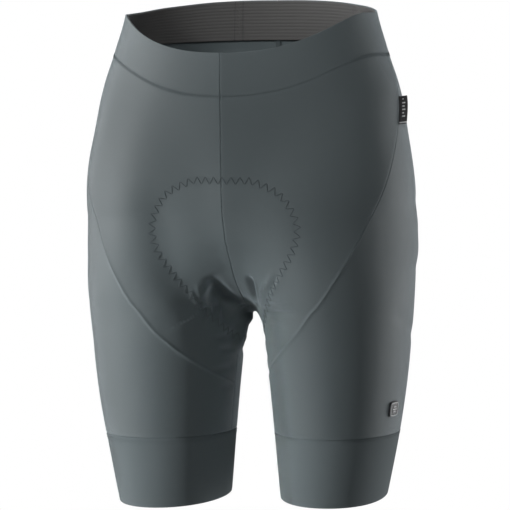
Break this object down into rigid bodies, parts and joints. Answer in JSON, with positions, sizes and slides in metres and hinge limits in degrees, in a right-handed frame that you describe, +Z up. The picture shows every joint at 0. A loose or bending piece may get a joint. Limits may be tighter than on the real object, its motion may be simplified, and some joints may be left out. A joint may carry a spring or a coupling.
{
  "type": "cycling shorts",
  "caption": "Close-fitting stretch cycling shorts, filled out as worn, with diagonal front panels, leg bands, a ribbed elastic inside the waistband and a seat pad.",
  "frame": {"origin": "the middle of the waist opening, at the height of the waist's edge at the sides", "axes": "+Z up, the front faces -Y, +X is the wearer's left"},
  "size_m": [0.3288, 0.2125, 0.4991],
  "materials": {
    "knit": "dark grey stretch knit with a soft sheen",
    "band_knit": "duller dark grey gripping knit with fine upright lines",
    "elastic": "near-black ribbed elastic",
    "pad": "brushed dark grey pad cloth",
    "tag": "woven satin tag",
    "badge": "moulded soft rubber"
  },
  "bodies": {
    "root": {"waistband_left": "knit", "waistband_right": "knit", "front_left": "knit", "front_right": "knit", "leg_panel_left": "knit", "leg_panel_right": "knit", "leg_band_left": "band_knit", "leg_band_right": "band_knit", "waist_facing": "elastic", "seat_pad": "pad", "side_tag": "tag", "leg_badge": "badge"}
  },
  "joints": []
}
